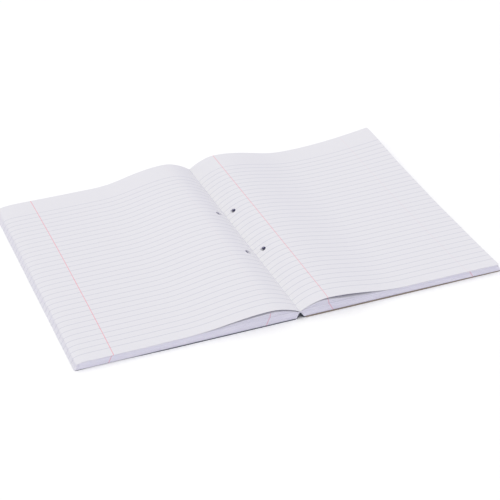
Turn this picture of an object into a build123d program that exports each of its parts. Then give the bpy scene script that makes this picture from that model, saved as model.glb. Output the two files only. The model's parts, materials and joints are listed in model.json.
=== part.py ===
from build123d import *
import os
from math import cos, hypot, pi, sin

# An A4 side-glued, two-hole punched, ruled pad lying open at its middle.
# Millimetres, +Z up. X runs across the open spread, Y from the foot to the head of the pages.
# The origin is on the table, under the gutter, halfway along the pages.

# Driving dimensions
LEAF_WIDTH = 210.0
LEAF_LENGTH = 297.0
CORNER_RADIUS = 2.0
COVER_THICKNESS = 0.4
BOARD_THICKNESS = 1.0
COVER_OVERHANG = 0.5
GUTTER_HEIGHT = 8.6
SPINE_FOOT = 3.5
SPINE_HEAD = 0.5
CARD_WRAP = 0.45
GLUE_FILM = 0.35
HOLE_DIAMETER = 6.0
HOLE_SPACING = 80.0
HOLE_FROM_GUTTER = 12.0
LOWER_SHEAVES = 5
UPPER_SHEAVES = 3
UPPER_SHEAF_THICKNESS = 0.3
LEAF_THICKNESS = 0.1
CROWN_HEIGHT = 11.0
CROWN_PEAK_FROM_GUTTER = 29.0
CROWN_END_FROM_GUTTER = 110.0

# Clearances
HALF_GAP = 0.15
COVER_GAP = 0.05
LEAF_GAP = 0.05
CREASE_GAP = 0.4

CROWN_STEPS = 6

# Heights worked out from the driving dimensions
block_top = GUTTER_HEIGHT - HALF_GAP
top_leaf_base = block_top - LEAF_THICKNESS
upper_step = UPPER_SHEAF_THICKNESS + LEAF_GAP
upper_base = top_leaf_base - UPPER_SHEAVES * upper_step
lower_top = upper_base - LEAF_GAP
crown_step = CROWN_HEIGHT / (UPPER_SHEAVES + 1)


def spine_x(height):
    """Distance from the gutter to the leaves' bound edge at a height; the bound edges lean in as they rise."""
    return SPINE_FOOT - (SPINE_FOOT - SPINE_HEAD) * height / block_top


def mirrored(side, points):
    """Points of an X-Z outline, mirrored for the left side."""
    return [(side * x, 0, z) for x, z in points]


def along_page(outline):
    """Extrude a closed X-Z outline over the length of the page."""
    face = make_face(outline.edges())
    solid = extrude(face, amount=LEAF_LENGTH / 2, dir=(0, 1, 0), both=True)
    return solid


def punched(solid, side):
    """Cut the two filing holes."""
    for y in (-HOLE_SPACING / 2, HOLE_SPACING / 2):
        drill = Cylinder(HOLE_DIAMETER / 2, 4 * (GUTTER_HEIGHT + CROWN_HEIGHT))
        solid = solid - Pos(side * HOLE_FROM_GUTTER, y, 0) * drill
    return solid


def rounded(solid, side):
    """Round the two free corners of a leaf, sheaf, cover or board."""
    corners = solid.edges().filter_by(lambda edge: abs(edge.tangent_at(0.5).Z) > 0.5 and edge.length < GUTTER_HEIGHT)
    corners = corners.sort_by(lambda edge: side * edge.center().X)[-2:]
    return fillet(corners, CORNER_RADIUS)


def flat_sheaf(side, low, high):
    """A sheaf of leaves that lies flat; its bound edge and fore-edge lean with the spine."""
    inner_low = spine_x(low)
    inner_high = spine_x(high)
    outline = Polyline(
        *mirrored(
            side,
            [
                (inner_low, low),
                (inner_low + LEAF_WIDTH, low),
                (inner_high + LEAF_WIDTH, high),
                (inner_high, high),
            ],
        ),
        close=True,
    )
    return punched(rounded(along_page(outline), side), side)


def crown(x, inner):
    """Share of the crown's height at a distance from the gutter: up to the peak, and down to the flat."""
    if x < CROWN_PEAK_FROM_GUTTER:
        return sin(pi / 2 * (x - inner) / (CROWN_PEAK_FROM_GUTTER - inner))
    return cos(pi / 2 * (x - CROWN_PEAK_FROM_GUTTER) / (CROWN_END_FROM_GUTTER - CROWN_PEAK_FROM_GUTTER)) ** 2


def crown_points(inner, base, height):
    """Points of the crowned stretch of a leaf, from the bound edge to where it lies flat."""
    rise = CROWN_PEAK_FROM_GUTTER - inner
    fall = CROWN_END_FROM_GUTTER - CROWN_PEAK_FROM_GUTTER
    stations = [inner + rise * i / CROWN_STEPS for i in range(CROWN_STEPS)]
    stations += [CROWN_PEAK_FROM_GUTTER + fall * i / CROWN_STEPS for i in range(CROWN_STEPS + 1)]
    return [(x, base + height * crown(x, inner)) for x in stations]


def crown_edge(side, inner, base, height):
    """The crowned stretch as one smooth curve, set out by distance from the gutter."""
    points = crown_points(inner, base, height)
    return Edge.make_spline(mirrored(side, points), parameters=[x - inner for x, z in points])


def pulled_in(inner, height):
    """How far the fore-edge of a crowned leaf moves in, because the leaf keeps its width along the arch."""
    points = crown_points(inner, 0, height)
    pairs = list(zip(points, points[1:]))
    return sum(hypot(b[0] - a[0], b[1] - a[1]) for a, b in pairs) - (points[-1][0] - inner)


def crowned_sheaf(side, base, thickness, height):
    """Leaves that arch up beside the gutter and lie flat from there to the fore-edge."""
    inner = spine_x(base)
    outer = inner + LEAF_WIDTH - pulled_in(inner, height)
    top = base + thickness
    lower = crown_edge(side, inner, base, height)
    upper = crown_edge(side, inner, top, height)
    flat = [(CROWN_END_FROM_GUTTER, base), (outer, base), (outer, top), (CROWN_END_FROM_GUTTER, top)]
    bound = [(inner, base), (inner, top)]
    outline = Curve() + [lower, Polyline(*mirrored(side, flat)), upper, Polyline(*mirrored(side, bound))]
    return punched(rounded(along_page(outline), side), side)


def panel(side, thickness):
    """The front cover or the back board, from its crease to just past the lowest leaf's fore-edge."""
    inner = SPINE_FOOT + CREASE_GAP
    outer = spine_x(0) + LEAF_WIDTH + COVER_OVERHANG
    width = outer - inner
    solid = Pos(side * (inner + outer) / 2, 0, thickness / 2) * Box(width, LEAF_LENGTH, thickness)
    return punched(rounded(solid, side), side)


def spine_strip(side, start, end, low, high):
    """A strip up one flank of the spine, between two distances inside the leaves' bound edges."""
    outline = Polyline(
        *mirrored(
            side,
            [
                (spine_x(low) - start, low),
                (spine_x(high) - start, high),
                (spine_x(high) - end, high),
                (spine_x(low) - end, low),
            ],
        ),
        close=True,
    )
    return along_page(outline)


def glue(side):
    """The padding glue that holds the bound edges of one half."""
    panel_thickness = COVER_THICKNESS if side < 0 else BOARD_THICKNESS
    return spine_strip(side, 0, GLUE_FILM, panel_thickness + COVER_GAP, lower_top)


def wrap(side):
    """The card of the cover where it wraps one flank of the spine, over the glue."""
    inner_limit = GLUE_FILM + CARD_WRAP + HALF_GAP
    top = block_top * (SPINE_FOOT - inner_limit) / (SPINE_FOOT - SPINE_HEAD)
    return spine_strip(side, GLUE_FILM, GLUE_FILM + CARD_WRAP, 0, min(top, lower_top))


nodes = {
    "front_cover": panel(-1, COVER_THICKNESS),
    "back_board": panel(1, BOARD_THICKNESS),
}

for side_name, side, panel_thickness in (("left", -1, COVER_THICKNESS), ("right", 1, BOARD_THICKNESS)):
    nodes[f"{side_name}_spine_wrap"] = wrap(side)
    nodes[f"{side_name}_glue"] = glue(side)
    lower_base = panel_thickness + COVER_GAP
    step = (lower_top - lower_base) / LOWER_SHEAVES
    for i in range(LOWER_SHEAVES):
        low = lower_base + i * step
        nodes[f"{side_name}_lower_leaves_{i + 1}"] = flat_sheaf(side, low, low + step)
    for i in range(UPPER_SHEAVES):
        base = upper_base + i * upper_step
        height = (i + 1) * crown_step
        nodes[f"{side_name}_upper_leaves_{i + 1}"] = crowned_sheaf(side, base, UPPER_SHEAF_THICKNESS, height)
    nodes[f"{side_name}_top_leaf"] = crowned_sheaf(side, top_leaf_base, LEAF_THICKNESS, CROWN_HEIGHT)

os.makedirs("parts", exist_ok=True)
for name, solid in nodes.items():
    export_step(solid, f"parts/{name}.step")
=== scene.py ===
import json
import math

import bpy
import numpy as np
from bpy.props import FloatProperty, IntProperty, PointerProperty, StringProperty
from mathutils import Matrix, Vector


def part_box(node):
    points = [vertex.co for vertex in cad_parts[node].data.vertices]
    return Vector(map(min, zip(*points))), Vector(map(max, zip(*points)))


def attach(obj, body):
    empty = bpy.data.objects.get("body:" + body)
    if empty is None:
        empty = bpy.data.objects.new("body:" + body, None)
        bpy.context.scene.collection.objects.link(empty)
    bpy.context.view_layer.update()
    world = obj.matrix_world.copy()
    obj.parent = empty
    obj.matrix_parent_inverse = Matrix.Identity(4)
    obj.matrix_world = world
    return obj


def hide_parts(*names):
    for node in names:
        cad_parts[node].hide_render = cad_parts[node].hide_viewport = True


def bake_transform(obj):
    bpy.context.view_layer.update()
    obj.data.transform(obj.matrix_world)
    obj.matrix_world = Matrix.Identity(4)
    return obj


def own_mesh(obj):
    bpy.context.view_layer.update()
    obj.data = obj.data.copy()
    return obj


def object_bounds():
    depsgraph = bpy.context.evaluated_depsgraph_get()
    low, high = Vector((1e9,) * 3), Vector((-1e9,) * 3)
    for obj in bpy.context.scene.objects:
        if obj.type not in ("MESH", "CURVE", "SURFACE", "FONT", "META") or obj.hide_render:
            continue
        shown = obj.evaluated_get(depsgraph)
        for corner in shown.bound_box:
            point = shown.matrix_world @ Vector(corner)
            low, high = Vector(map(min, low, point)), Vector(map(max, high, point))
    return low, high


bl_info = {
    "name": "Refill pad",
    "version": (1, 0, 0),
    "blender": (4, 5, 0),
    "location": "View3D > Sidebar > Refill pad",
    "description": "Builds an open, punched and ruled refill pad around its packed frame",
    "category": "Object",
}

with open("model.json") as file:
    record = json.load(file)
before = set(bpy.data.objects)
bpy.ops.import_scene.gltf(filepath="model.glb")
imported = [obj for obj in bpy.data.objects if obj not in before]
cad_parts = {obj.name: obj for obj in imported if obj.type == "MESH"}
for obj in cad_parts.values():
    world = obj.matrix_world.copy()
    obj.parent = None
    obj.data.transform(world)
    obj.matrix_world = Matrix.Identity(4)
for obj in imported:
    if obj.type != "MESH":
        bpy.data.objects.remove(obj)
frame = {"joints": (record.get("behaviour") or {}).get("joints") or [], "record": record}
cad_low, cad_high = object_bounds()

MM = 0.001
SIDES = {"left": -1, "right": 1}
LOWER = 5
UPPER = 3
SEED = 11
TENT_LIGHT = 0.5
OVERHEAD_LIGHT = 0.58
# A cool tent and a warmer bank: together they are neutral, and shade turns violet as on bleached paper.
# The tent's skirt, its lowest part, is the most violet.
TENT_COLOUR = (0.92, 0.89, 1.18, 1.0)
TENT_SKIRT = (0.43, 0.40, 0.68, 1.0)
OVERHEAD_COLOUR = (1.07, 1.095, 0.845)
HORIZON = (0.98, 0.98, 0.98, 1.0)
CAMERA_AZIMUTH, CAMERA_ELEVATION, CAMERA_ROLL = -21.83, 31.55, -0.44
CAMERA_TARGET = (2.6 * MM, -19 * MM, 0)
CAMERA_DISTANCE = 1.529


# ---------------------------------------------------------------- sizes and colours


class PadSizes(bpy.types.PropertyGroup):
    leaf_width: FloatProperty(
        name="Leaf width", description="Width of a leaf, from its bound edge to its fore-edge",
        default=210 * MM, unit="LENGTH")
    leaf_length: FloatProperty(
        name="Leaf length", description="Length of a leaf, from its foot to its head",
        default=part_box("left_top_leaf")[1].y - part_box("left_top_leaf")[0].y, unit="LENGTH")
    corner_radius: FloatProperty(
        name="Corner radius", description="Radius of the free corners", default=2 * MM, unit="LENGTH")
    gutter_height: FloatProperty(
        name="Gutter height", description="Height of the line that the two halves close about",
        default=frame["joints"][0]["pos_m"][2], unit="LENGTH")
    spine_foot: FloatProperty(
        name="Spine foot", description="Distance from the gutter to the lowest leaf's bound edge",
        default=3.5 * MM, unit="LENGTH")
    spine_head: FloatProperty(
        name="Spine head", description="Distance from the gutter to the top leaf's bound edge",
        default=0.15 * MM, unit="LENGTH")
    arch_allowance: FloatProperty(
        name="Arch allowance", description="Extra width that brings an arched top leaf out to its fore-edge",
        default=3 * MM, unit="LENGTH")
    flat_block: FloatProperty(
        name="Flat block", description="Greatest height of the leaves that lie flat, above the table",
        default=8.4 * MM, unit="LENGTH")
    hole_diameter: FloatProperty(
        name="Hole diameter", description="Diameter of the filing holes",
        default=2 * frame["record"]["mounts"][0]["dims"]["r_mm"] * MM, unit="LENGTH")
    hole_across: FloatProperty(
        name="Hole from gutter", description="Distance from the gutter to the holes in the flat leaves",
        default=abs(frame["record"]["mounts"][0]["pos_m"][0]), unit="LENGTH")
    hole_along: FloatProperty(
        name="Hole from middle", description="Distance of each hole from the middle of the page",
        default=abs(frame["record"]["mounts"][0]["pos_m"][1]), unit="LENGTH")
    hole_in_top: FloatProperty(
        name="Hole in top leaf", description="Distance from the top leaf's bound edge to its holes",
        default=9.2 * MM, unit="LENGTH")
    ruling: FloatProperty(
        name="Ruling", description="Distance between two ruled lines", default=8 * MM, unit="LENGTH")
    ruled_lines: IntProperty(name="Ruled lines", description="Number of lines on a page", default=33)
    last_line: FloatProperty(
        name="Last line", description="Height of the lowest ruled line above the foot of the page",
        default=12 * MM, unit="LENGTH")
    line_width: FloatProperty(
        name="Line width", description="Width of a printed line", default=0.5 * MM, unit="LENGTH")
    margin: FloatProperty(
        name="Margin", description="Distance from the bound edge to the margin line of a right-hand page",
        default=29.8 * MM, unit="LENGTH")
    fore_margin: FloatProperty(
        name="Fore margin", description="Distance from the fore-edge to the margin line of a left-hand page",
        default=31.3 * MM, unit="LENGTH")
    leaf_thickness: FloatProperty(
        name="Leaf thickness", description="Thickness of a single leaf", default=0.1 * MM, unit="LENGTH")
    fan_leaves: IntProperty(
        name="Fanned leaves", description="Leaves that show in each fanned sheaf", default=8)
    flat_leaves: IntProperty(
        name="Flat leaves", description="Layers that show in each flat sheaf", default=5)


class PadColours(bpy.types.PropertyGroup):
    paper: StringProperty(name="Paper", description="Face of a leaf", default="#E2E1E5")
    # Painted light: the cut edge of the stack is given a lighter colour than the face of a leaf, for light on
    # the edges.
    paper_edge_painted_light: StringProperty(name="Paper edge", description="Cut edge of the stack", default="#F1F0F6")
    # Painted light: near the rim the hole walls are given a near-white colour, lighter than the face of a
    # leaf, for light in the top of a hole.
    punched_edge_painted_light: StringProperty(
        name="Punched edge", description="Wall of a hole near its rim", default="#F2F1FB")
    # Painted shade: lower in the holes the walls are given this dark violet, for the shade deep in a hole.
    punched_painted_shade: StringProperty(
        name="Deep in a hole", description="Wall of a hole below its rim", default="#6C6C9A")
    line: StringProperty(name="Ruled line", description="Feint ruling ink", default="#B4B5C4")
    margin: StringProperty(name="Margin line", description="Margin ink", default="#EC8B9B")
    card: StringProperty(name="Cover card", description="Printed face of the cover", default="#16222E")
    card_core: StringProperty(name="Card core", description="Rubbed edge of the cover", default="#3E4E5E")
    board: StringProperty(name="Back board", description="Face of the greyboard", default="#96897A")
    board_fleck: StringProperty(
        name="Board fleck", description="Recycled fibres in the board", default="#4A4034")
    glue: StringProperty(name="Glue", description="Dried padding glue", default="#D4D3DF")
    floor: StringProperty(name="Floor", description="Pale table top", default="#FBFBFB")


def sizes():
    return bpy.context.scene.pad_sizes


def colours():
    return bpy.context.scene.pad_colours


def linear(colour):
    """An sRGB hex colour as linear RGBA."""
    channels = [int(colour[i:i + 2], 16) / 255 for i in (1, 3, 5)]
    return [c / 12.92 if c <= 0.04045 else ((c + 0.055) / 1.055) ** 2.4 for c in channels] + [1.0]


# ---------------------------------------------------------------- shape of the open leaves

# The arch beside the gutter: where it is highest and where it ends, and its height from foot to head.
CROWN_PEAK = 29 * MM
CROWN_END = 110 * MM
CROWN_AT_FOOT = {"left": 7.7 * MM, "right": 9.2 * MM}
CROWN_GROWTH = {"left": 3.6 * MM, "right": 1.7 * MM}
# Height of the page where it lies flat.
FLAT_LEVEL = {"left": 8.2 * MM, "right": 8.0 * MM}
# How far the page sinks at its foot, at its head and into the gutter.
FOOT_DROOP = {"left": 0.6 * MM, "right": 1.5 * MM}
HEAD_DROOP = 1.1 * MM
GUTTER_DIP = 0.9 * MM
# The far right corner lifts, from these distances across and along the page.
CORNER_LIFT = 7.6 * MM
LIFT_ACROSS = 115 * MM
LIFT_ALONG = -40 * MM
# The left fore-edge, this far from the gutter, has been thumbed down, most of all at its far corner.
FORE_EDGE = 213 * MM
EDGE_DROOP = 0.6
EDGE_REACH = 4 * MM
CORNER_DROOP = 0.33
CORNER_REACH = 6 * MM
# Damp has left the paper faintly wavy.
COCKLE = 0.12 * MM
# The foot of each top leaf stands off the leaves under it, in a hump beside the gutter.
FOOT_GAP = {"left": 2.3 * MM, "right": 3.5 * MM}
GAP_CREST = {"left": 36 * MM, "right": 48 * MM}
GAP_REACH = {"left": 36 * MM, "right": 27 * MM}
LEAST_GAP = 0.12 * MM
# Least thickness that is left to the fanned leaves.
FAN_LEAST = 0.3 * MM
# The open halves splay: fore-edges stand out by a mean amount, and by more or less from foot to head.
SPLAY = {"left": 2.2 * MM, "right": 0.3 * MM}
SKEW = {"left": -1.3 * MM, "right": 2.0 * MM}
# The right foot of the spine has spread further than the left.
FOOT_OUT = {"left": 0.0, "right": 1.2 * MM}


def ease(value, start, end):
    """Smooth step from 0 at start to 1 at end."""
    t = np.clip((value - start) / (end - start), 0, 1)
    return t * t * (3 - 2 * t)


def crown(across, inner):
    """Share of the arch beside the gutter: a quick rise to the crest, and a long fall to the flat."""
    rise = np.sin(np.pi / 2 * np.clip((across - inner) / (CROWN_PEAK - inner), 0, 1))
    fall = np.cos(np.pi / 2 * np.clip((across - CROWN_PEAK) / (CROWN_END - CROWN_PEAK), 0, 1)) ** 2
    return np.where(across < CROWN_PEAK, rise, fall)


def page_height(side, across, along):
    """Height of the top page at a distance from the gutter, and along the page from its middle."""
    length = sizes().leaf_length
    from_foot = (along + length / 2) / length
    inner = sizes().spine_head
    # The arch is highest 0.73 of the way from the foot to the head.
    arch = CROWN_AT_FOOT[side] + CROWN_GROWTH[side] * np.sin(np.pi / 2 * from_foot / 0.73)
    shape = crown(across, inner)
    near_foot = np.exp(-from_foot * length / (9 * MM))
    near_head = np.exp(-(1 - from_foot) * length / (11 * MM))
    height = FLAT_LEVEL[side] + arch * shape
    height = height - FOOT_DROOP[side] * near_foot * shape
    height = height - HEAD_DROOP * near_head * ease(across, 60 * MM, 95 * MM)
    height = height - GUTTER_DIP * np.exp(-(across - inner) / (3 * MM))
    if side == "right":
        across_share = np.clip((across - LIFT_ACROSS) / (85 * MM), 0, None) ** 1.7
        along_share = np.clip((along - LIFT_ALONG) / (185 * MM), 0, None) ** 1.8
        height = height + CORNER_LIFT * across_share * along_share
    else:
        # The left page sags at both ends of its fore-edge, more at the foot, where its corner turns up.
        ends = np.where(from_foot < 0.5, 0.8 * MM, 0.1 * MM) * np.abs(2 * from_foot - 1) ** 3
        height = height - ends * ease(across, 100 * MM, 160 * MM)
        height = height + 1.2 * MM * near_foot * ease(across, 190 * MM, 212 * MM)
    waves = np.sin(across / (19 * MM) + along / (37 * MM)) * np.sin(along / (29 * MM) - across / (61 * MM))
    return height + COCKLE * waves * ease(across, 8 * MM, 60 * MM)


def droop(side, across, along):
    """Share of its height that the stack keeps: the left fore-edge rolls down, most at its far corner."""
    if side == "right":
        return np.ones_like(across)
    from_edge = np.clip(FORE_EDGE - across, 0, None)
    from_corner = from_edge + np.clip(sizes().leaf_length / 2 - along, 0, None)
    rolled = 1 - EDGE_DROOP * np.exp(-from_edge / EDGE_REACH)
    return rolled * (1 - CORNER_DROOP * np.exp(-from_corner / CORNER_REACH))


def under_top_leaf(side, across, along):
    """Gap between the top leaf and the leaves under it: widest where its foot lifts beside the gutter."""
    from_foot = along + sizes().leaf_length / 2
    hump = np.exp(-((across - GAP_CREST[side]) / GAP_REACH[side]) ** 2)
    return LEAST_GAP + FOOT_GAP[side] * hump * np.exp(-from_foot / (45 * MM))


def block_top(side, across, along):
    """Height of the leaves that lie flat: they fill the space under the top page, up to the closed height."""
    under = page_height(side, across, along) - under_top_leaf(side, across, along) - FAN_LEAST
    return np.minimum(under, sizes().flat_block)


# ---------------------------------------------------------------- leaves as meshes

# Basic spacing of the mesh on each kind of leaf, finest where most of the leaf shows.
FLAT_STEP = 6 * MM
FAN_STEP = 3.2 * MM
TOP_STEP = 2.4 * MM
PLATE_STEP = 12 * MM


def spread(start, end, step):
    """Evenly spaced stations from start to just short of end."""
    count = max(1, round((end - start) / step))
    return [start + (end - start) * i / count for i in range(count)]


class Plan:
    """A leaf laid flat: u from its bound edge, v from its foot, with holes and rounded free corners."""

    def __init__(self, width, length, hole_u, step, hole_vs=None):
        s = sizes()
        half = 0.6 * s.hole_diameter
        cells = 6
        if hole_vs is None:
            hole_vs = [length / 2 - s.hole_along, length / 2 + s.hole_along]
        r = s.corner_radius
        us = spread(0, hole_u - half, step / 3)
        us += [hole_u - half + 2 * half * i / cells for i in range(cells + 1)]
        us += spread(hole_u + half, 100 * MM, step)[1:]
        ends = [20 * MM, 12 * MM, 6 * MM, r, 0.3 * r, 0]
        us += spread(100 * MM, width - ends[0], 2 * step) + [width - end for end in ends]
        vs = ends[:0:-1] + spread(ends[0], hole_vs[0] - half, 2 * step)
        for i, hole_v in enumerate(hole_vs):
            vs += [hole_v - half + 2 * half * j / cells for j in range(cells + 1)]
            if i + 1 < len(hole_vs):
                vs += spread(hole_v + half, hole_vs[i + 1] - half, 2 * step)[1:]
        vs += spread(hole_vs[-1] + half, length - ends[0], 2 * step)[1:] + [length - end for end in ends]
        us, vs = np.array(us), np.array(vs)
        columns = len(us)
        points = [(u, v) for v in vs for u in us]
        u0 = int(np.argmin(np.abs(us - (hole_u - half))))
        v0s = [int(np.argmin(np.abs(vs - (v - half)))) for v in hole_vs]
        faces = []
        for j in range(len(vs) - 1):
            for i in range(columns - 1):
                if u0 <= i < u0 + cells and any(v0 <= j < v0 + cells for v0 in v0s):
                    continue
                a = j * columns + i
                faces.append((a, a + 1, a + 1 + columns, a + columns))
        for v0, hole_v in zip(v0s, hole_vs):
            ring = [(u0 + i, v0) for i in range(cells)]
            ring += [(u0 + cells, v0 + i) for i in range(cells)]
            ring += [(u0 + cells - i, v0 + cells) for i in range(cells)]
            ring += [(u0, v0 + cells - i) for i in range(cells)]
            first = len(points)
            for i, j in ring:
                angle = math.atan2(vs[j] - hole_v, us[i] - hole_u)
                radius = s.hole_diameter / 2
                points.append((hole_u + radius * math.cos(angle), hole_v + radius * math.sin(angle)))
            for k, (i, j) in enumerate(ring):
                i2, j2 = ring[(k + 1) % len(ring)]
                following = first + (k + 1) % len(ring)
                faces.append((j * columns + i, j2 * columns + i2, following, first + k))
        points = np.array(points)
        for corner_v, inward in ((0, 1), (length, -1)):
            du = points[:, 0] - (width - r)
            dv = (corner_v + inward * r - points[:, 1]) * inward
            distance = np.hypot(du, dv)
            outside = (du > 0) & (dv > 0) & (distance > r)
            scale = np.where(outside, r / np.maximum(distance, 1e-9), 1)
            points[:, 0] = np.where(outside, width - r + du * scale, points[:, 0])
            points[:, 1] = np.where(outside, corner_v + inward * (r - dv * scale), points[:, 1])
        self.points, self.faces = points, faces
        self.first_ring = columns * len(vs)
        count = {}
        for face in faces:
            for a, b in zip(face, face[1:] + face[:1]):
                key = (min(a, b), max(a, b))
                count[key] = None if key in count else (a, b)
        self.rim = [edge for edge in count.values() if edge]


class Leaves:
    """Collects the leaves of one piece and makes its mesh."""

    def __init__(self):
        self.points, self.faces, self.slots, self.uvs = [], [], [], []
        self.total = 0

    def add(self, plan, upper, lower, flip):
        """Add one leaf between two sets of points. Face slots are 0 upper, 1 lower, 2 cut and 3 punched."""
        n = len(plan.points)
        base = self.total
        top = [tuple(base + i for i in face) for face in plan.faces]
        bottom = [tuple(base + n + i for i in reversed(face)) for face in plan.faces]
        walls = [(base + b, base + a, base + n + a, base + n + b) for a, b in plan.rim]
        faces = top + bottom + walls
        if flip:
            faces = [tuple(reversed(face)) for face in faces]
        self.faces += faces
        self.slots += [0] * len(top) + [1] * len(bottom)
        for a, b in plan.rim:
            bound = max(plan.points[a][0], plan.points[b][0]) < 1e-9
            self.slots.append(3 if min(a, b) >= plan.first_ring else 0 if bound else 2)
        self.points += [upper, lower]
        self.uvs += [plan.points, plan.points]
        self.total += 2 * n

    def build(self, name, materials, smooth=True):
        mesh = bpy.data.meshes.new(name)
        mesh.from_pydata(np.concatenate(self.points).tolist(), [], self.faces)
        for material in materials:
            mesh.materials.append(material)
        mesh.polygons.foreach_set("material_index", self.slots)
        uvs = np.concatenate(self.uvs)
        layer = mesh.uv_layers.new(name="page")
        corners = np.zeros(len(mesh.loops), np.int32)
        mesh.loops.foreach_get("vertex_index", corners)
        layer.data.foreach_set("uv", uvs[corners].astype(np.float32).ravel())
        if smooth:
            mesh.polygons.foreach_set("use_smooth", [slot < 2 for slot in self.slots])
            mesh.set_sharp_from_angle(angle=math.radians(40))
        mesh.update()
        piece = bpy.data.objects.new(name, mesh)
        bpy.context.scene.collection.objects.link(piece)
        return piece


def across_from_arc(inner, surface, points):
    """Distance from the gutter of each flat point, once the leaf keeps its width along its curve."""
    s = sizes()
    rows = np.linspace(-s.leaf_length / 2, s.leaf_length / 2, 15)
    stations = inner + np.linspace(0, s.leaf_width + s.arch_allowance, 300)
    table = []
    for row in rows:
        heights = surface(stations, np.full_like(stations, row))
        arc = np.concatenate([[0], np.cumsum(np.hypot(np.diff(stations), np.diff(heights)))])
        table.append(np.interp(points[:, 0], arc, stations))
    table = np.array(table)
    place = np.clip(points[:, 1] / s.leaf_length, 0, 1) * (len(rows) - 1)
    low = np.minimum(place.astype(int), len(rows) - 2)
    share = place - low
    index = np.arange(len(points))
    return table[low, index] * (1 - share) + table[low + 1, index] * share


def bound_edge(side, height):
    """Distance from the gutter to the bound edge of a leaf at a height."""
    s = sizes()
    top = s.gutter_height - 0.15 * MM
    foot = s.spine_foot + FOOT_OUT[side]
    return foot - (foot - s.spine_head) * min(height, top) / top


def place(side, across, along, height):
    """Points in the shared frame. The open halves splay a little: their fore-edges stand out, and askew."""
    length = sizes().leaf_length
    splay = across / sizes().leaf_width * (SPLAY[side] + SKEW[side] * along / (length / 2))
    return np.stack([SIDES[side] * (across + splay), along, height], axis=1)


# By default a leaf's holes get the dark walls, which are painted shade.
def printed(side, punched="punched_paper_deep"):
    """Materials for a leaf's upper face, lower face, cut edge and punched edge."""
    faces = ["offset_paper_recto", "offset_paper_verso"]
    if side == "left":
        faces.reverse()
    return [bpy.data.materials[name] for name in faces + ["guillotined_paper", punched]]


def settle(piece, body, nodes):
    """Put a finished piece on its body and hide the parts of the model that it stands for."""
    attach(piece, body)
    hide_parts(*nodes)


# ---------------------------------------------------------------- materials


def add_node(tree, kind, inputs=None, **settings):
    """Add a node, set its properties, and fill its inputs with values, or link them to sockets or nodes."""
    node = tree.nodes.new(kind)
    for key, value in settings.items():
        setattr(node, key, value)
    for key, value in (inputs or {}).items():
        if isinstance(value, bpy.types.Node):
            value = value.outputs[0]
        if isinstance(value, bpy.types.NodeSocket):
            tree.links.new(value, node.inputs[key])
        else:
            node.inputs[key].default_value = value
    return node


def new_material(name, roughness, ior=1.5):
    """A material with one Principled shader; gives its tree, its shader and the place on the piece."""
    material = bpy.data.materials.new(name)
    material.use_nodes = True
    tree = material.node_tree
    shader = tree.nodes["Principled BSDF"]
    shader.inputs["Roughness"].default_value = roughness
    shader.inputs["IOR"].default_value = ior
    return tree, shader, add_node(tree, "ShaderNodeTexCoord").outputs["Object"]


def lay_over(tree, colour, layers):
    """Lay colours one by one over the first, each where its mask says, and give the result."""
    for mask, over in layers:
        mix = add_node(tree, "ShaderNodeMix", {0: mask, 6: colour, 7: over}, data_type="RGBA")
        colour = mix.outputs[2]
    return colour


def tinted(colour, red, green, blue):
    return [channel * share for channel, share in zip(linear(colour), (red, green, blue))] + [1.0]


def line_mask(tree, distance, width, strength):
    """A printed line where distance is 0, with the soft edge of ink that has spread into paper."""
    away = add_node(tree, "ShaderNodeMath", {0: distance}, operation="ABSOLUTE")
    fade = {0: away, 1: 0.25 * width, 2: 0.75 * width, 3: strength, 4: 0.0}
    return add_node(tree, "ShaderNodeMapRange", fade, interpolation_type="SMOOTHSTEP")


def printing(tree, place_at, rule, near_margin, far_margin, swell):
    """Masks and inks for the ruled lines and for both margins, from a leaf's own page coordinates.

    The ruling is drawn 0.5 mm wide and pale; the press makes it 0.25 mm wide, which wouldn't show."""
    s, c = sizes(), colours()
    page = add_node(tree, "ShaderNodeUVMap", uv_map="page")
    split = add_node(tree, "ShaderNodeSeparateXYZ", {0: page})
    u, v = split.outputs[0], split.outputs[1]
    # Ink takes unevenly on the tooth of the paper, about 0.5 mm across.
    tooth = add_node(tree, "ShaderNodeTexNoise", {"Vector": place_at, "Scale": 1 / (0.5 * MM), "Detail": 2.0})
    take = add_node(tree, "ShaderNodeMapRange", {0: tooth, 1: 0.3, 2: 0.6, 3: 0.7, 4: 1.0})
    from_last = add_node(tree, "ShaderNodeMath", {0: v, 1: s.last_line}, operation="SUBTRACT")
    turns = add_node(tree, "ShaderNodeMath", {0: from_last, 1: s.ruling}, operation="DIVIDE")
    nearest = add_node(tree, "ShaderNodeMath", {0: turns}, operation="ROUND")
    off = add_node(tree, "ShaderNodeMath", {0: turns, 1: nearest}, operation="SUBTRACT")
    off = add_node(tree, "ShaderNodeMath", {0: off, 1: s.ruling}, operation="MULTIPLY")
    masks = [(line_mask(tree, off, s.line_width, rule), c.line)]
    above = add_node(tree, "ShaderNodeMath", {0: nearest, 1: -0.5}, operation="GREATER_THAN")
    below = add_node(tree, "ShaderNodeMath", {0: nearest, 1: s.ruled_lines - 0.5}, operation="LESS_THAN")
    ruled = add_node(tree, "ShaderNodeMath", {0: above, 1: below}, operation="MULTIPLY")
    masks[0] = (add_node(tree, "ShaderNodeMath", {0: masks[0][0], 1: ruled}, operation="MULTIPLY"), c.line)
    for position, strength in ((s.margin, near_margin), (s.leaf_width - s.fore_margin, far_margin)):
        across = add_node(tree, "ShaderNodeMath", {0: u, 1: position}, operation="SUBTRACT")
        masks.append((line_mask(tree, across, swell * s.line_width, strength), c.margin))
    return [(add_node(tree, "ShaderNodeMath", {0: mask, 1: take}, operation="MULTIPLY"), linear(ink))
            for mask, ink in masks]


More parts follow.
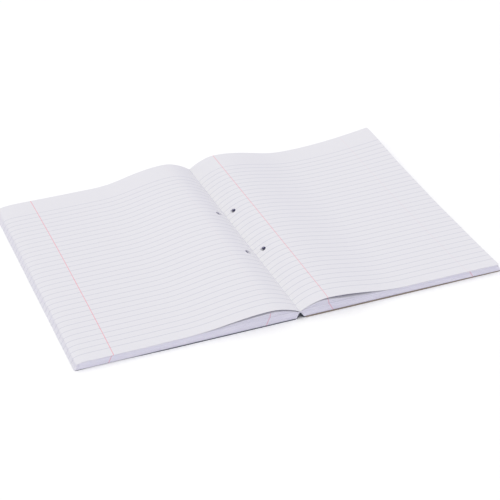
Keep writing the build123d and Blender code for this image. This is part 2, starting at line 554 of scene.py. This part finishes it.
def offset_paper(name, near_margin, far_margin):
    """Woodfree offset paper, calendered and pen-ruled: matt, and faintly violet from its brightener."""
    tree, shader, place_at = new_material(name, roughness=0.88)
    paper = colours().paper
    # Fibres gather in flocs about 4 mm across, so that the sheet looks slightly cloudy.
    flocs = add_node(tree, "ShaderNodeTexNoise", {"Vector": place_at, "Scale": 1 / (4 * MM), "Detail": 3.0})
    layers = [(flocs, tinted(paper, 0.97, 0.97, 0.975))]
    layers += printing(tree, place_at, 0.82, near_margin, far_margin, swell=1.0)
    tree.links.new(lay_over(tree, linear(paper), layers), shader.inputs["Base Color"])
    # The felt side of the sheet has a tooth of single fibres, about 0.25 mm apart.
    fibres = add_node(tree, "ShaderNodeTexNoise",
                      {"Vector": place_at, "Scale": 1 / (0.25 * MM), "Detail": 4.0})
    bump = add_node(tree, "ShaderNodeBump", {"Height": fibres, "Strength": 0.12, "Distance": 0.02 * MM})
    tree.links.new(bump.outputs[0], shader.inputs["Normal"])
    shader.inputs["Specular IOR Level"].default_value = 0.25


def cut_paper(name, colour, rule):
    """The same paper seen on its cut ends, left by a guillotine or a punch: finely streaked and violet grey.

    The ruling runs off the leaf, so the ends of the lines show as small ticks that don't quite line up."""
    tree, shader, place_at = new_material(name, roughness=0.92)
    # Streaks follow the leaves: 0.33 mm high, which is coarser than a leaf, and some 25 mm long.
    along = add_node(tree, "ShaderNodeMapping",
                     {"Vector": place_at, "Scale": (1 / (25 * MM), 1 / (25 * MM), 1 / (0.33 * MM))})
    streaks = add_node(tree, "ShaderNodeTexNoise", {"Vector": along, "Scale": 1.0, "Detail": 2.0})
    dark = add_node(tree, "ShaderNodeMapRange", {0: streaks, 1: 0.4, 2: 0.7, 3: 0.0, 4: 1.0})
    layers = [(dark, tinted(colour, 0.9, 0.89, 0.93))]
    layers += printing(tree, place_at, rule, rule, rule, swell=1.8)
    tree.links.new(lay_over(tree, linear(colour), layers), shader.inputs["Base Color"])
    bump = add_node(tree, "ShaderNodeBump", {"Height": streaks, "Strength": 0.3, "Distance": 0.05 * MM})
    tree.links.new(bump.outputs[0], shader.inputs["Normal"])
    shader.inputs["Specular IOR Level"].default_value = 0.2


def coated_card(name, rubbed):
    """Cover card, printed dark and varnished: a soft sheen over a fine grain, with its edges rubbed pale."""
    s, c = sizes(), colours()
    tree, shader, place_at = new_material(name, roughness=0.42)
    # The coating follows the pulp under it, in a grain of about 0.6 mm.
    grain = add_node(tree, "ShaderNodeTexNoise", {"Vector": place_at, "Scale": 1 / (0.6 * MM), "Detail": 4.0})
    layers = [(grain, tinted(c.card, 1.3, 1.3, 1.3))]
    if rubbed:
        page = add_node(tree, "ShaderNodeUVMap", uv_map="page")
        split = add_node(tree, "ShaderNodeSeparateXYZ", {0: page})
        far = add_node(tree, "ShaderNodeMath", {0: s.leaf_length, 1: split.outputs[1]}, operation="SUBTRACT")
        side = add_node(tree, "ShaderNodeMath", {0: s.leaf_width, 1: split.outputs[0]}, operation="SUBTRACT")
        nearer = add_node(tree, "ShaderNodeMath", {0: far, 1: split.outputs[1]}, operation="MINIMUM")
        nearest = add_node(tree, "ShaderNodeMath", {0: nearer, 1: side}, operation="MINIMUM")
        # Handling rubs a band of about 1 mm, in patches some 6 mm long.
        patches = add_node(tree, "ShaderNodeTexNoise",
                           {"Vector": place_at, "Scale": 1 / (6 * MM), "Detail": 3.0})
        band = add_node(tree, "ShaderNodeMapRange", {0: patches, 1: 0.45, 2: 0.75, 3: 0.0, 4: 1.4 * MM})
        worn = add_node(tree, "ShaderNodeMapRange", {0: nearest, 1: 0.0, 2: band, 3: 0.45, 4: 0.0})
        layers.append((worn, linear(c.card_core)))
    tree.links.new(lay_over(tree, linear(c.card), layers), shader.inputs["Base Color"])
    bump = add_node(tree, "ShaderNodeBump", {"Height": grain, "Strength": 0.15, "Distance": 0.03 * MM})
    tree.links.new(bump.outputs[0], shader.inputs["Normal"])


def greyboard(name):
    """Greyboard, pressed from waste paper: matt, warm grey, and flecked with darker fibres."""
    c = colours()
    tree, shader, place_at = new_material(name, roughness=0.93)
    # Pulp settles in clouds about 9 mm across, with flecks of 0.8 mm.
    clouds = add_node(tree, "ShaderNodeTexNoise", {"Vector": place_at, "Scale": 1 / (9 * MM), "Detail": 4.0})
    flecks = add_node(tree, "ShaderNodeTexNoise",
                      {"Vector": place_at, "Scale": 1 / (0.8 * MM), "Detail": 3.0})
    dark = add_node(tree, "ShaderNodeMapRange", {0: flecks, 1: 0.6, 2: 0.7, 3: 0.0, 4: 0.6})
    layers = [(clouds, tinted(c.board, 0.86, 0.86, 0.87)), (dark, linear(c.board_fleck))]
    tree.links.new(lay_over(tree, linear(c.board), layers), shader.inputs["Base Color"])
    bump = add_node(tree, "ShaderNodeBump", {"Height": flecks, "Strength": 0.4, "Distance": 0.06 * MM})
    tree.links.new(bump.outputs[0], shader.inputs["Normal"])


def padding_glue(name):
    """White padding glue, brushed on and dried: a rubbery satin film, uneven along the brush."""
    c = colours()
    tree, shader, place_at = new_material(name, roughness=0.45, ior=1.47)
    # Brush strokes run along the spine, 2 mm wide and some 30 mm long.
    brushed = add_node(tree, "ShaderNodeMapping",
                       {"Vector": place_at, "Scale": (1 / (2 * MM), 1 / (30 * MM), 1 / (2 * MM))})
    strokes = add_node(tree, "ShaderNodeTexNoise", {"Vector": brushed, "Scale": 1.0, "Detail": 3.0})
    colour = lay_over(tree, linear(c.glue), [(strokes, tinted(c.glue, 0.85, 0.85, 0.86))])
    tree.links.new(colour, shader.inputs["Base Color"])
    bump = add_node(tree, "ShaderNodeBump", {"Height": strokes, "Strength": 0.5, "Distance": 0.1 * MM})
    tree.links.new(bump.outputs[0], shader.inputs["Normal"])


def laminate(name):
    """Pale laminate table top: even and matt, with a fine pebble of about 1 mm."""
    tree, shader, place_at = new_material(name, roughness=0.9)
    pebble = add_node(tree, "ShaderNodeTexNoise", {"Vector": place_at, "Scale": 1 / (1 * MM), "Detail": 2.0})
    bump = add_node(tree, "ShaderNodeBump", {"Height": pebble, "Strength": 0.05, "Distance": 0.02 * MM})
    tree.links.new(bump.outputs[0], shader.inputs["Normal"])
    shader.inputs["Base Color"].default_value = linear(colours().floor)


# ---------------------------------------------------------------- operators


class PAD_OT_materials(bpy.types.Operator):
    """Make the paper, card, board and glue"""

    bl_idname = "pad.materials"
    bl_label = "Materials"

    def execute(self, context):
        c = colours()
        offset_paper("offset_paper_recto", near_margin=0.8, far_margin=0.10)
        offset_paper("offset_paper_verso", near_margin=0.04, far_margin=1.0)
        # Painted light: the cut edges get the edge colour, lighter than the faces, for light on the edges of
        # the stack.
        cut_paper("guillotined_paper", c.paper_edge_painted_light, rule=0.55)
        # Painted light: the hole walls near the rim get the near-white colour.
        cut_paper("punched_paper", c.punched_edge_painted_light, rule=0.0)
        # Painted shade: below the top sheaf the hole walls are painted dark for the shade deep in the holes;
        # lower down the holes don't quite line up, so less light comes back from their walls.
        cut_paper("punched_paper_deep", c.punched_painted_shade, rule=0.0)
        coated_card("coated_card", rubbed=True)
        coated_card("folded_card", rubbed=False)
        greyboard("pressed_greyboard")
        padding_glue("dried_padding_glue")
        laminate("pale_laminate")
        return {"FINISHED"}


class PAD_OT_flat_sheaves(bpy.types.Operator):
    """Make the sheaves that lie flat on the cover and on the board"""

    bl_idname = "pad.flat_sheaves"
    bl_label = "Flat sheaves"

    def execute(self, context):
        s = sizes()
        random = np.random.default_rng(SEED)
        for side, sign in SIDES.items():
            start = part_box(f"{side}_lower_leaves_1")[0].z
            layers = LOWER * s.flat_leaves
            for i in range(LOWER):
                leaves = Leaves()
                for j in range(s.flat_leaves):
                    share = (i * s.flat_leaves + j) / layers
                    inner = bound_edge(side, start + share * (s.flat_block - start))
                    plan = Plan(s.leaf_width, s.leaf_length, s.hole_across - inner, FLAT_STEP)
                    slip = random.normal(0, 0.07 * MM, 2)
                    across = inner + plan.points[:, 0] + slip[0] * (plan.points[:, 0] > s.leaf_width / 2)
                    along = plan.points[:, 1] - s.leaf_length / 2 + slip[1]
                    sunk = droop(side, across, along)
                    depth = block_top(side, across, along) - start
                    low = (start + share * depth) * sunk
                    high = (start + (share + 0.93 / layers) * depth) * sunk
                    leaves.add(plan, place(side, across, along, high),
                               place(side, across, along, low), sign < 0)
                piece = leaves.build(f"{side}_flat_sheaf_{i + 1}", printed(side))
                settle(piece, f"{side}_half", [f"{side}_lower_leaves_{i + 1}"])
        return {"FINISHED"}


class PAD_OT_fanned_sheaves(bpy.types.Operator):
    """Make the sheaves that arch beside the gutter, with their leaves fanned apart"""

    bl_idname = "pad.fanned_sheaves"
    bl_label = "Fanned sheaves"

    def execute(self, context):
        s = sizes()
        random = np.random.default_rng(SEED + 1)
        total = UPPER * s.fan_leaves
        for side, sign in SIDES.items():

            def surface(share):
                def height(across, along):
                    base = block_top(side, across, along)
                    top = page_height(side, across, along) - under_top_leaf(side, across, along)
                    return (base + share * (top - base)) * droop(side, across, along)
                return height

            for i in range(UPPER):
                leaves = Leaves()
                for j in range(s.fan_leaves):
                    share = (i * s.fan_leaves + j) / total
                    inner = bound_edge(side, s.flat_block + share * (s.gutter_height - s.flat_block))
                    hole = (1 - share) * (s.hole_across - inner) + share * s.hole_in_top
                    plan = Plan(s.leaf_width + share * s.arch_allowance, s.leaf_length, hole, FAN_STEP)
                    across = across_from_arc(inner, surface(share), plan.points)
                    slip = random.normal(0, 0.08 * MM, 2)
                    along = plan.points[:, 1] - s.leaf_length / 2 + slip[1]
                    wander = slip[0] + 0.15 * MM * np.sin(along / (24 * MM) + random.uniform(0, 6))
                    across = across + wander * (plan.points[:, 0] > s.leaf_width / 2)
                    low = surface(share)(across, along)
                    high = surface(share + 0.86 / total)(across, along)
                    leaves.add(plan, place(side, across, along, high),
                               place(side, across, along, low), sign < 0)
                # Only the top sheaf gets the near-white hole walls, painted light; the sheaves under it get
                # the dark ones, painted shade.
                punched = "punched_paper" if i == UPPER - 1 else "punched_paper_deep"
                piece = leaves.build(f"{side}_fanned_sheaf_{i + 1}", printed(side, punched))
                settle(piece, f"{side}_half", [f"{side}_upper_leaves_{i + 1}"])
                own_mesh(piece)
        return {"FINISHED"}


class PAD_OT_top_leaves(bpy.types.Operator):
    """Make the top leaf of each half, which turns over the gutter"""

    bl_idname = "pad.top_leaves"
    bl_label = "Top leaves"

    def execute(self, context):
        s = sizes()
        for side, sign in SIDES.items():

            def surface(across, along):
                return page_height(side, across, along) * droop(side, across, along)

            plan = Plan(s.leaf_width + s.arch_allowance, s.leaf_length, s.hole_in_top, TOP_STEP)
            across = across_from_arc(s.spine_head, surface, plan.points)
            along = plan.points[:, 1] - s.leaf_length / 2
            upper = surface(across, along)
            leaves = Leaves()
            leaves.add(plan, place(side, across, along, upper),
                       place(side, across, along, upper - s.leaf_thickness), sign < 0)
            # The top leaf's hole walls get the near-white colour, which is painted light.
            piece = leaves.build(f"{side}_turning_leaf", printed(side, "punched_paper"))
            settle(piece, f"{side}_top_leaf", [f"{side}_top_leaf"])
            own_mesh(piece)
        return {"FINISHED"}


# Cover and board stop short of the crease, so that they can fold.
HINGE_ROOM = 0.7 * MM
# Their foot edges are cut slightly hollow towards the fore-edge.
EDGE_HOLLOW = {"left": 1.3 * MM, "right": 0.7 * MM}
HOLLOW_AT = {"left": 183 * MM, "right": 200 * MM}
HOLLOW_REACH = {"left": 30 * MM, "right": 60 * MM}


def plate(name, side, node, material, recess, overhang):
    """The cover or the board: a punched plate with rounded corners and rubbed edges.

    Its fore-edge is set back a little from the leaves, and its foot and head stand a little past them."""
    low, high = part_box(node)
    inner = min(abs(low.x), abs(high.x)) + HINGE_ROOM + FOOT_OUT[side]
    width = max(abs(low.x), abs(high.x)) - inner - recess
    thickness = high.z - low.z
    middle = (high.y - low.y) / 2 + overhang
    holes = [middle - sizes().hole_along, middle + sizes().hole_along]
    plan = Plan(width, 2 * middle, sizes().hole_across - inner, PLATE_STEP, holes)
    across = inner + plan.points[:, 0]
    along = plan.points[:, 1] - middle
    hollow = EDGE_HOLLOW[side] * np.exp(-((across - HOLLOW_AT[side]) / HOLLOW_REACH[side]) ** 2)
    along = along + hollow * np.clip(1 - plan.points[:, 1] / (25 * MM), 0, 1)
    leaves = Leaves()
    leaves.add(plan, place(side, across, along, np.full_like(across, high.z)),
               place(side, across, along, np.full_like(across, low.z)), SIDES[side] < 0)
    piece = leaves.build(name, [material] * 4, smooth=False)
    soften = piece.modifiers.new("rubbed edges", "BEVEL")
    soften.width = 0.22 * thickness
    soften.segments = 2
    soften.limit_method = "ANGLE"
    return piece


class PAD_OT_front_cover(bpy.types.Operator):
    """Make the card front cover"""

    bl_idname = "pad.front_cover"
    bl_label = "Front cover"

    def execute(self, context):
        piece = plate("card_front_cover", "left", "front_cover", bpy.data.materials["coated_card"],
                      recess=1.1 * MM, overhang=0.6 * MM)
        settle(piece, "front_cover", ["front_cover"])
        return {"FINISHED"}


class PAD_OT_back_board(bpy.types.Operator):
    """Make the greyboard back"""

    bl_idname = "pad.back_board"
    bl_label = "Back board"

    def execute(self, context):
        piece = plate("greyboard_back", "right", "back_board", bpy.data.materials["pressed_greyboard"],
                      recess=0.3 * MM, overhang=0.8 * MM)
        settle(piece, "back_board", ["back_board"])
        return {"FINISHED"}


def arch_strip(name, outer, inner, material):
    """A strip along the spine between two X-Z lines of equal count, run from the right foot to the left."""
    length = sizes().leaf_length
    rows = np.linspace(-length / 2, length / 2, 25)
    outline = np.array(list(outer) + list(reversed(inner)))
    n = len(outline)
    points = [(x, y, z) for y in rows for x, z in outline]
    faces = []
    for j in range(len(rows) - 1):
        for i in range(n):
            a, b = j * n + i, j * n + (i + 1) % n
            faces.append((a, b, b + n, a + n))
    half = n // 2
    last = (len(rows) - 1) * n
    for i in range(half - 1):
        faces.append((i, n - 1 - i, n - 2 - i, i + 1))
        faces.append((last + i, last + i + 1, last + n - 2 - i, last + n - 1 - i))
    mesh = bpy.data.meshes.new(name)
    mesh.from_pydata(points, [], faces)
    mesh.materials.append(material)
    along_spine = (len(rows) - 1) * n
    mesh.polygons.foreach_set("use_smooth", [k < along_spine for k in range(len(faces))])
    mesh.update()
    piece = bpy.data.objects.new(name, mesh)
    bpy.context.scene.collection.objects.link(piece)
    return piece


def arch_line(toe, foot, shoulder, shoulder_height, rise):
    """Points of the spine's inverted V: toes, two straight legs, and a rounded cap between shoulders."""
    low = 0.45 * MM
    legs = [(toe, 0.04 * MM)]
    legs += [(foot + (shoulder - foot) * i / 8, low + (shoulder_height - low) * i / 8) for i in range(8)]
    angles = [math.pi * i / 12 for i in range(13)]
    cap = [(shoulder * math.cos(angle), shoulder_height + rise * math.sin(angle)) for angle in angles]
    right = [(x + FOOT_OUT["right"] * (1 - z / shoulder_height), z) for x, z in legs]
    return right + cap + [(-x - FOOT_OUT["left"] * (1 - z / shoulder_height), z) for x, z in reversed(legs)]


class PAD_OT_spine(bpy.types.Operator):
    """Make the card that wraps the spine and the glue on the bound edges"""

    bl_idname = "pad.spine"
    bl_label = "Spine"

    def execute(self, context):
        foot = sizes().spine_foot
        # Card and glue each lie between an outer and an inner line, and the glue is on the card.
        card = (arch_line(foot + 0.78 * MM, foot - 0.27 * MM, 1.15 * MM, 5.6 * MM, 0.5 * MM),
                arch_line(foot - 0.4 * MM, foot - 1.05 * MM, 0.4 * MM, 5.0 * MM, 0.3 * MM))
        glue = (arch_line(foot - 0.02 * MM, foot - 0.2 * MM, 1.2 * MM, 5.8 * MM, 1.45 * MM),
                arch_line(foot - 0.04 * MM, foot - 0.25 * MM, 1.17 * MM, 5.62 * MM, 0.51 * MM))
        for name, lines, finish, node, material_slot in (
                ("spine_card", card, "folded_card", "spine_wrap", "cover_card"),
                ("spine_glue", glue, "dried_padding_glue", "glue", "padding_glue")):
            piece = arch_strip(name, *lines, bpy.data.materials[finish])
            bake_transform(piece)
            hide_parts(f"left_{node}", f"right_{node}")
        return {"FINISHED"}


class PAD_OT_stage(bpy.types.Operator):
    """Make the pale floor, the soft light and the camera"""

    bl_idname = "pad.stage"
    bl_label = "Stage"

    def execute(self, context):
        scene = context.scene
        mesh = bpy.data.meshes.new("floor")
        half = 40.0
        corners = [(-half, -half, 0), (half, -half, 0), (half, half, 0), (-half, half, 0)]
        mesh.from_pydata(corners, [], [(0, 1, 2, 3)])
        mesh.materials.append(bpy.data.materials["pale_laminate"])
        floor = bpy.data.objects.new("floor", mesh)
        floor.location.z = cad_low.z - 0.02 * MM
        scene.collection.objects.link(floor)
        world = bpy.data.worlds.new("light_tent")
        world.use_nodes = True
        tree = world.node_tree
        # The wall of the tent looks white near the floor, for a pale background, but lights nothing.
        direction = add_node(tree, "ShaderNodeTexCoord").outputs["Generated"]
        upward = add_node(tree, "ShaderNodeSeparateXYZ", {0: direction}).outputs[2]
        wall = add_node(tree, "ShaderNodeMapRange", {0: upward, 1: 0.08, 2: 0.25, 3: 1.0, 4: 0.0})
        roof = [channel * TENT_LIGHT for channel in TENT_COLOUR[:3]] + [1.0]
        seen = add_node(tree, "ShaderNodeLightPath").outputs["Is Camera Ray"]
        wall = add_node(tree, "ShaderNodeMath", {0: wall, 1: seen}, operation="MULTIPLY")
        skirt = add_node(tree, "ShaderNodeMapRange", {0: upward, 1: 0.15, 2: 0.45, 3: 1.0, 4: 0.0})
        colour = lay_over(tree, roof, [(skirt, TENT_SKIRT), (wall, HORIZON)])
        tree.links.new(colour, tree.nodes["Background"].inputs["Color"])
        scene.world = world
        light = bpy.data.lights.new("overhead_bank", "SUN")
        light.angle = math.radians(110)
        light.energy = math.pi * OVERHEAD_LIGHT
        light.color = OVERHEAD_COLOUR
        lamp = bpy.data.objects.new("overhead_bank", light)
        lamp.rotation_euler = (math.radians(-4), math.radians(-9), 0)
        scene.collection.objects.link(lamp)
        camera = bpy.data.cameras.new("camera")
        camera.sensor_width = 36
        camera.lens = 111
        eye = bpy.data.objects.new("camera", camera)
        azimuth, elevation = math.radians(CAMERA_AZIMUTH), math.radians(CAMERA_ELEVATION)
        outward = Vector((math.sin(azimuth) * math.cos(elevation), -math.cos(azimuth) * math.cos(elevation),
                          math.sin(elevation)))
        roll = Matrix.Rotation(math.radians(CAMERA_ROLL), 3, "Z")
        turn = outward.to_track_quat("Z", "Y").to_matrix() @ roll
        place_of_eye = Vector(CAMERA_TARGET) + outward * CAMERA_DISTANCE
        eye.matrix_world = Matrix.Translation(place_of_eye) @ turn.to_4x4()
        scene.collection.objects.link(eye)
        scene.camera = eye
        scene.view_settings.view_transform = "Standard"
        return {"FINISHED"}


OPERATORS = (PAD_OT_materials, PAD_OT_stage, PAD_OT_front_cover, PAD_OT_back_board, PAD_OT_spine,
             PAD_OT_flat_sheaves, PAD_OT_fanned_sheaves, PAD_OT_top_leaves)


class PAD_PT_panel(bpy.types.Panel):
    bl_idname = "PAD_PT_panel"
    bl_label = "Refill pad"
    bl_space_type = "VIEW_3D"
    bl_region_type = "UI"
    bl_category = "Refill pad"

    def draw(self, context):
        for operator in OPERATORS:
            self.layout.operator(operator.bl_idname)
        for group in (context.scene.pad_sizes, context.scene.pad_colours):
            for name in group.bl_rna.properties.keys():
                if name not in ("rna_type", "name"):
                    self.layout.prop(group, name)


CLASSES = (PadSizes, PadColours) + OPERATORS + (PAD_PT_panel,)


def register():
    for cls in CLASSES:
        bpy.utils.register_class(cls)
    bpy.types.Scene.pad_sizes = PointerProperty(type=PadSizes)
    bpy.types.Scene.pad_colours = PointerProperty(type=PadColours)


def unregister():
    del bpy.types.Scene.pad_sizes
    del bpy.types.Scene.pad_colours
    for cls in reversed(CLASSES):
        bpy.utils.unregister_class(cls)


def main():
    register()
    bpy.ops.pad.materials()
    bpy.ops.pad.stage()
    bpy.ops.pad.front_cover()
    bpy.ops.pad.back_board()
    bpy.ops.pad.spine()
    bpy.ops.pad.flat_sheaves()
    bpy.ops.pad.fanned_sheaves()
    bpy.ops.pad.top_leaves()


if __name__ == "__main__":
    main()
